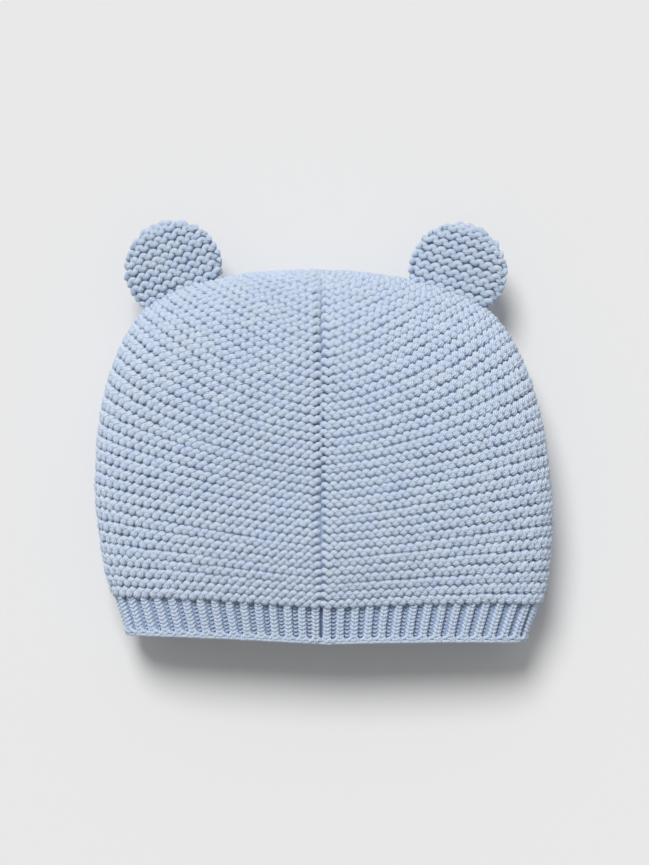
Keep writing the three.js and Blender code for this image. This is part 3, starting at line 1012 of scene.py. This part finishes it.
class HAT_OT_ears(bpy.types.Operator):
    """Knit the two ears over their pads"""

    bl_idname = "hat.ears"
    bl_label = "Ears"

    SAMPLES = 97  # points of each row
    FACE_PLACES = 801  # points from an ear's tip to its base, to space out the rows
    ROW_DEPTH = 1.5
    YARN_RADIUS = 1.33
    HIDDEN_REACH = 2.2  # stitches this far inside the crown are left out
    UNEVENNESS = 0.1
    FILL = 0.35  # how full the pads are
    # The pad's thickness: a higher flatness keeps its faces flat for longer, and a lower roundness
    # makes its rim blunter.
    FLATNESS = 2 / 0.75
    ROUNDNESS = 0.425
    RIM_BLEND = 14  # how sharply the stitches turn outwards at the rim
    CROWN_SQUARE = 2.3  # the exponent of the crown's section where the ears sit
    MERGE = 0.01  # corners of the solid's triangles this near each other are one

    def execute(self, context):
        for number, (name, side, seat, tilt) in enumerate(EARS):
            self.ear(name, side, seat, tilt, number)
        return {"FINISHED"}

    def ear(self, name, side, seat, tilt, number):
        sizes, _ = settings()
        place = self.seat_place(seat * HALF_WIDTH)
        (up, half, lean, _, _), _ = sections_at(place)
        across = lean * HALF_WIDTH + side * half * HALF_WIDTH
        height = up * HAT_LENGTH
        seat_at = np.array([across, height + shift_at(across, height), SIDE_LEVEL])
        angle = -side * math.radians(tilt)
        c, s = math.cos(angle), math.sin(angle)
        spin = np.array([[c, -s, 0], [s, c, 0], [0, 0, 1]])
        middle = seat_at + spin @ np.array([0, (EAR_RISE - EAR_TUCK) / 2, 0])
        pitch = sizes.ear_ridge_pitch / MM
        lines = []
        for y in self.row_heights(pitch):
            line = self.row(y)
            line["points"] = line["points"] @ spin.T + middle
            line["out"] = line["out"] @ spin.T
            line["rise"] = np.full(len(line["points"]), pitch)
            lines.extend(self.outside_crown(line))
        yarn = bpy.data.materials["ear_yarn"]
        piece = knit(name + "_stitches", lines, EAR_GARTER, sizes.ear_stitch_width / MM, pitch, yarn,
                     sizes.seed + 20 + number, self.YARN_RADIUS, self.UNEVENNESS, depth=self.ROW_DEPTH)
        finished(piece, "ear_knit")
        self.backing(name)

    @staticmethod
    def seat_place(half):
        """The place in the upper half of the outline where the hat is this wide from its middle."""
        places = np.linspace(0.5, 1, OUTLINE_PLACES)
        return float(np.interp(-half, -sections_at(places)[0][1] * HALF_WIDTH, places))

    def thickness(self, x, y):
        """Half the pad's thickness at a point of it."""
        share = np.hypot(x / EAR_HALF_WIDTH, y / EAR_HALF_RISE)
        return EAR_THICK / 2 * np.maximum(1 - share**self.FLATNESS, 0) ** self.ROUNDNESS

    def row_heights(self, pitch):
        """Rows at equal distances over the pad's face, from its tip to its base."""
        y = EAR_HALF_RISE * np.cos(np.linspace(0, math.pi, self.FACE_PLACES))
        z = self.thickness(0 * y, y)
        run = np.concatenate([[0], np.cumsum(np.hypot(np.diff(y), np.diff(z)))])
        return np.interp(np.arange(pitch / 2, run[-1], pitch), run, y)

    def row(self, y):
        """One row round the pad, which starts and ends at the middle of its lower face."""
        chord = EAR_HALF_WIDTH * math.sqrt(1 - (y / EAR_HALF_RISE) ** 2)
        angle = np.linspace(-math.pi, math.pi, self.SAMPLES)
        x = chord * np.sin(angle)
        face = np.where(np.cos(angle) > 0, 1, -1)
        ys = np.full_like(x, y)
        z = face * self.thickness(x, ys)
        step = 0.05
        inner = 0.985  # slopes are taken just inside the rim, where they are steep but finite
        ix, iy = inner * x, inner * ys
        dx = self.thickness(ix + step, iy) - self.thickness(ix - step, iy)
        dy = self.thickness(ix, iy + step) - self.thickness(ix, iy - step)
        out = unit(np.stack([-dx / (2 * step), -dy / (2 * step), np.full_like(x, 1.0)], -1))
        out[:, 2] *= face
        rim = 1 - np.abs(x) / max(chord, 1e-6)
        outward = unit(np.stack([x, ys, 0 * x], -1))
        out = unit(out + outward * np.exp(-rim * self.RIM_BLEND)[:, None])
        return {"points": np.stack([x, ys, z], -1), "out": out}

    def outside_crown(self, line):
        """The runs of a line that lie outside the crown or just under its surface."""
        places = np.linspace(0, 1, OUTLINE_PLACES)
        table = sections_at(places)[0]
        x, y, z = line["points"].T
        up = y - shift_at(x, HAT_LENGTH)
        place = np.interp(up, table[0] * HAT_LENGTH, places)
        edge = hat_surface(place, np.zeros_like(place))[0][:, 0]
        lean = table[2][np.searchsorted(places, place).clip(0, OUTLINE_PLACES - 1)]
        middle = lean * HALF_WIDTH
        half = np.maximum(edge - middle, 1e-3)
        square = self.CROWN_SQUARE
        share = np.clip(1 - np.abs((x - middle) / half) ** square, 0, 1) ** (1 / square)
        rounding = rounding_at(up)
        top = SIDE_LEVEL + (CROWN_THICK - SIDE_LEVEL) * rounding * share
        low = SIDE_LEVEL - SIDE_LEVEL * rounding * share
        inside = (z < top - self.HIDDEN_REACH) & (z > low + self.HIDDEN_REACH) & (share > 0)
        runs, start = [], None
        for i, hidden in enumerate([*inside, True]):
            if not hidden and start is None:
                start = i
            if hidden and start is not None:
                if i - start > 2:
                    runs.append({key: values[start:i] for key, values in line.items()})
                start = None
        return runs

    def backing(self, name):
        """The pad under the stitches: the ear's own solid, shrunk by the yarn's depth."""
        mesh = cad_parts[name].data.copy()
        mesh.name = name + "_pad"
        obj = linked(mesh.name, mesh)
        solid = bmesh.new()
        solid.from_mesh(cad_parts["crown"].data)
        crown = bvhtree.BVHTree.FromBMesh(solid)
        solid.free()
        form = bmesh.new()
        form.from_mesh(obj.data)
        bmesh.ops.remove_doubles(form, verts=form.verts, dist=self.MERGE * MM)
        bmesh.ops.recalc_face_normals(form, faces=form.faces)
        form.normal_update()
        shrunk = []
        for vertex in form.verts:
            near = crown.find_nearest(vertex.co)[3]
            depth = RIM_DEPTH + (PAD_DEPTH - RIM_DEPTH) * abs(vertex.normal.z)
            shrunk.append(vertex.co - vertex.normal * min(SEAT_SHARE * near / MM, depth) * MM)
        for vertex, place in zip(form.verts, shrunk):
            vertex.co = place
        form.to_mesh(obj.data)
        form.free()
        # the pad has a darker copy of the yarn, painted shade
        obj.data.materials.clear()
        obj.data.materials.append(bpy.data.materials["shaded_gap_yarn"])
        obj.data.polygons.foreach_set("use_smooth", [True] * len(obj.data.polygons))
        return finished(obj, "ear_knit", name)


class HAT_OT_stage(bpy.types.Operator):
    """Set the pale surface, the soft light and the camera"""

    bl_idname = "hat.stage"
    bl_label = "Stage"

    FOCAL = 100.0
    SENSOR = 36.0
    PHOTO = (649, 865)
    PIXELS_PER_MM = 2.4
    HAT_MIDDLE = (324.0, 431.25)
    FLOOR_REACH = 3.0  # in metres
    SURROUND_STRENGTH = 0.365
    LAMP_PLACE = (-0.22, 0.645, 0.825)  # in metres, and only its direction counts
    LAMP_ANGLE = 26
    LAMP_STRENGTH = 2.65

    def execute(self, context):
        _, colours = settings()
        self.floor(tuple(colours.surface))
        self.lights()
        self.camera()
        return {"FINISHED"}

    def floor(self, colour):
        mesh = bpy.data.meshes.new("floor")
        around = ((-1, -1), (1, -1), (1, 1), (-1, 1))
        mesh.from_pydata([(x * self.FLOOR_REACH, y * self.FLOOR_REACH, 0) for x, y in around], [],
                         [(0, 1, 2, 3)])
        floor = linked("floor", mesh)
        material = bpy.data.materials.new("floor")
        material.use_nodes = True
        preset(material.node_tree.nodes["Principled BSDF"],
               {"Base Color": (*colour, 1), "Roughness": 0.9, "Specular IOR Level": 0.1})
        mesh.materials.append(material)

    def lights(self):
        scene = bpy.context.scene
        world = bpy.data.worlds.new("studio")
        world.use_nodes = True
        preset(world.node_tree.nodes["Background"],
               {"Color": (1.0, 1.0, 1.0, 1), "Strength": self.SURROUND_STRENGTH})
        scene.world = world
        scene.view_settings.view_transform = "Standard"
        light = bpy.data.lights.new("softbox", "SUN")
        light.angle = math.radians(self.LAMP_ANGLE)
        light.energy = self.LAMP_STRENGTH
        lamp = linked("softbox", light)
        lamp.location = self.LAMP_PLACE
        lamp.rotation_euler = (-Vector(self.LAMP_PLACE)).to_track_quat("-Z", "Y").to_euler()

    def camera(self):
        data = bpy.data.cameras.new("camera")
        data.lens = self.FOCAL
        data.sensor_width = self.SENSOR
        high = self.PHOTO[1] / self.PIXELS_PER_MM * MM
        away = high * self.FOCAL / self.SENSOR
        camera = linked("camera", data)
        x = (self.PHOTO[0] / 2 - self.HAT_MIDDLE[0]) / self.PIXELS_PER_MM * MM
        y = (self.HAT_MIDDLE[1] - self.PHOTO[1] / 2) / self.PIXELS_PER_MM * MM
        camera.location = (x, y, away + SIDE_LEVEL * MM)
        camera.rotation_euler = (0, 0, 0)
        bpy.context.scene.camera = camera


class HAT_PT_panel(bpy.types.Panel):
    """Lists the hat's sizes, colours and pieces"""

    bl_label = "Knitted Hat"
    bl_space_type = "VIEW_3D"
    bl_region_type = "UI"
    bl_category = "Knitted Hat"

    def draw(self, context):
        for group in (context.scene.hat_sizes, context.scene.hat_colours):
            for key in group.bl_rna.properties.keys():
                if key not in ("rna_type", "name"):
                    self.layout.prop(group, key)
        for operator in OPERATORS:
            self.layout.operator(operator.bl_idname)


OPERATORS = (
    HAT_OT_stage,
    HAT_OT_yarns,
    HAT_OT_crown_backing,
    HAT_OT_crown_stitches,
    HAT_OT_rib,
    HAT_OT_ears,
)
CLASSES = (HatSizes, HatColours, *OPERATORS, HAT_PT_panel)


def register():
    for cls in CLASSES:
        bpy.utils.register_class(cls)
    bpy.types.Scene.hat_sizes = PointerProperty(type=HatSizes)
    bpy.types.Scene.hat_colours = PointerProperty(type=HatColours)


def unregister():
    del bpy.types.Scene.hat_colours
    del bpy.types.Scene.hat_sizes
    for cls in reversed(CLASSES):
        bpy.utils.unregister_class(cls)


def main():
    register()
    bpy.ops.hat.stage()
    bpy.ops.hat.yarns()
    bpy.ops.hat.crown_backing()
    bpy.ops.hat.crown_stitches()
    bpy.ops.hat.rib()
    bpy.ops.hat.ears()


if __name__ == "__main__":
    main()
